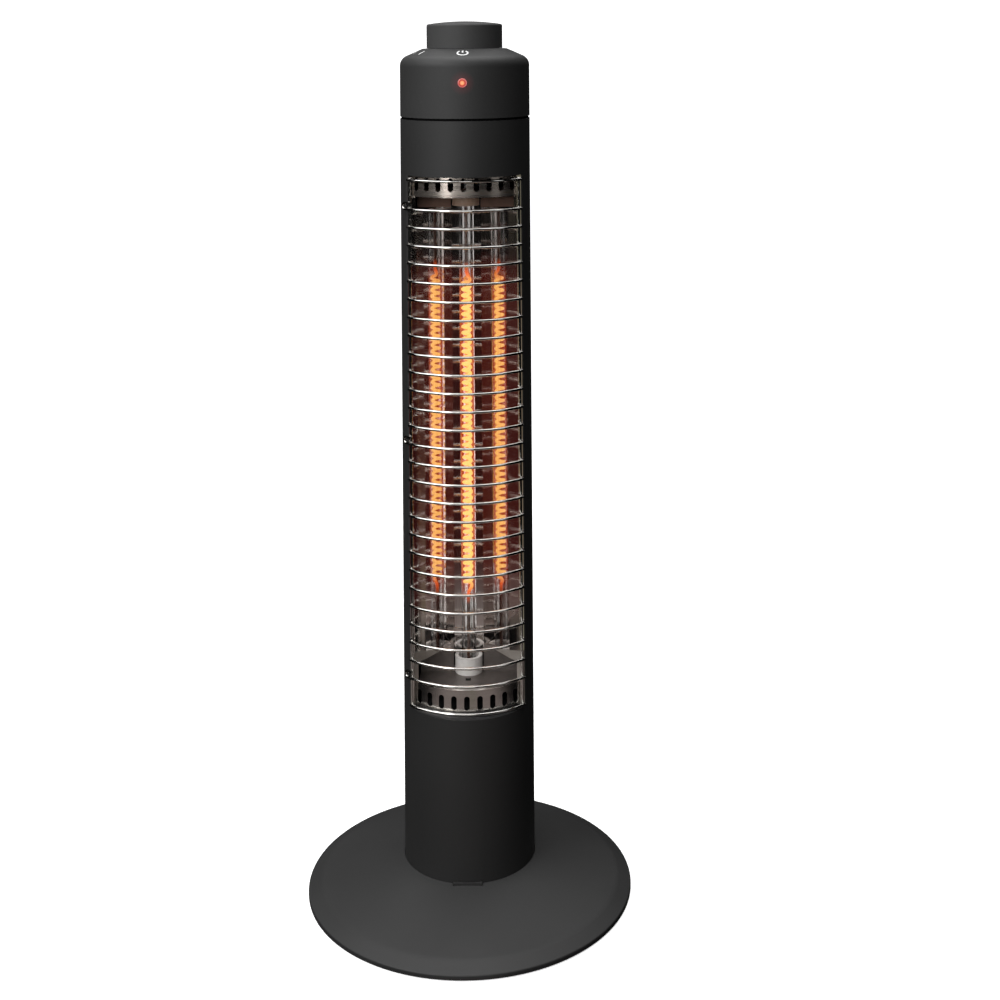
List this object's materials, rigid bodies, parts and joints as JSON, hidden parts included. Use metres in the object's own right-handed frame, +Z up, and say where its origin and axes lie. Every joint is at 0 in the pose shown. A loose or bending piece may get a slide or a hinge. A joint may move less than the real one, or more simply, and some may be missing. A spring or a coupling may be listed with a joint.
{
  "type": "halogen tower heater",
  "caption": "Slim free-standing radiant heater: a round weighted base, a black column with a wire-guarded halogen tube before a folded reflector, and a dial on top.",
  "frame": {"origin": "on the floor, under the axis of the column", "axes": "+Z up along the column, front with the guarded tube towards -Y, +X to the right of someone facing the front"},
  "size_m": [0.24, 0.24, 0.645],
  "materials": {
    "satin_black_shell": "satin black moulding",
    "satin_black_metal": "satin black paint on steel",
    "black_inner_plastic": "matt black moulding",
    "base_plate_metal": "matt black paint on steel",
    "ballast": "as cast",
    "black_rubber": "matt",
    "fastener_steel": "zinc plated",
    "spring_steel": "bright drawn wire",
    "white_plastic": "natural white moulding",
    "guard_chrome": "bright plated wire",
    "polished_aluminium": "mirror polished sheet",
    "dark_sheet": "heat-proof dark coating",
    "white_ceramic": "unglazed white",
    "quartz": "clear",
    "glowing_filament": "glowing hot wire",
    "wire_sleeve": "braided glass sleeve",
    "plain_aluminium": "plain",
    "board_green": "lacquered board",
    "red_lens": "clear red",
    "red_led": "lit red"
  },
  "bodies": {
    "heater": {"base_cover": "satin_black_shell", "base_plate": "base_plate_metal", "base_weight": "ballast", "rubber_feet": "black_rubber", "base_plate_screws": "fastener_steel", "column_bolts": "fastener_steel", "tip_guide": "black_inner_plastic", "tip_spring": "spring_steel", "tip_switch": "black_inner_plastic", "column_shell": "satin_black_metal", "column_screws": "fastener_steel", "column_foot": "satin_black_shell", "lower_baffle": "black_inner_plastic", "upper_baffle": "black_inner_plastic", "cord_gland": "black_rubber", "terminal_block": "white_plastic", "guard_wires": "guard_chrome", "guard_hook_wires": "guard_chrome", "guard_frame": "guard_chrome", "guard_uprights": "guard_chrome", "reflector": "polished_aluminium", "lower_end_plate": "dark_sheet", "upper_end_plate": "dark_sheet", "lower_ceramic_cup": "white_ceramic", "upper_ceramic_cup": "white_ceramic", "lower_tube_cap": "white_ceramic", "upper_tube_cap": "white_ceramic", "quartz_tube": "quartz", "heating_coil": "glowing_filament", "lower_lead_wire": "wire_sleeve", "upper_lead_wire": "wire_sleeve", "thermal_cutout": "plain_aluminium", "cutout_screws": "fastener_steel", "head_collar": "black_inner_plastic", "head_shell": "satin_black_shell", "head_screws": "fastener_steel", "control_board": "board_green", "board_screws": "fastener_steel", "led_lens": "red_lens", "led": "red_led", "heat_sink": "plain_aluminium", "triac": "black_inner_plastic", "rotary_control": "fastener_steel", "control_nut": "fastener_steel"},
    "knob": {"knob": "satin_black_shell", "control_shaft": "plain_aluminium"},
    "tip_plunger": {"tip_plunger": "white_plastic"}
  },
  "joints": [
    {"name": "knob_turn", "type": "hinge", "parent": "heater", "child": "knob", "pos_m": [0, 0, 0.636], "axis": [0, 0, 1], "range_deg": [-180, 90]},
    {"name": "tip_plunger_slide", "type": "slide", "parent": "heater", "child": "tip_plunger", "axis": [0, 0, 1], "range_m": [-0.003, 0], "stiffness_N_per_m": 60, "springref_m": -0.006, "deforming": ["tip_spring"]}
  ]
}
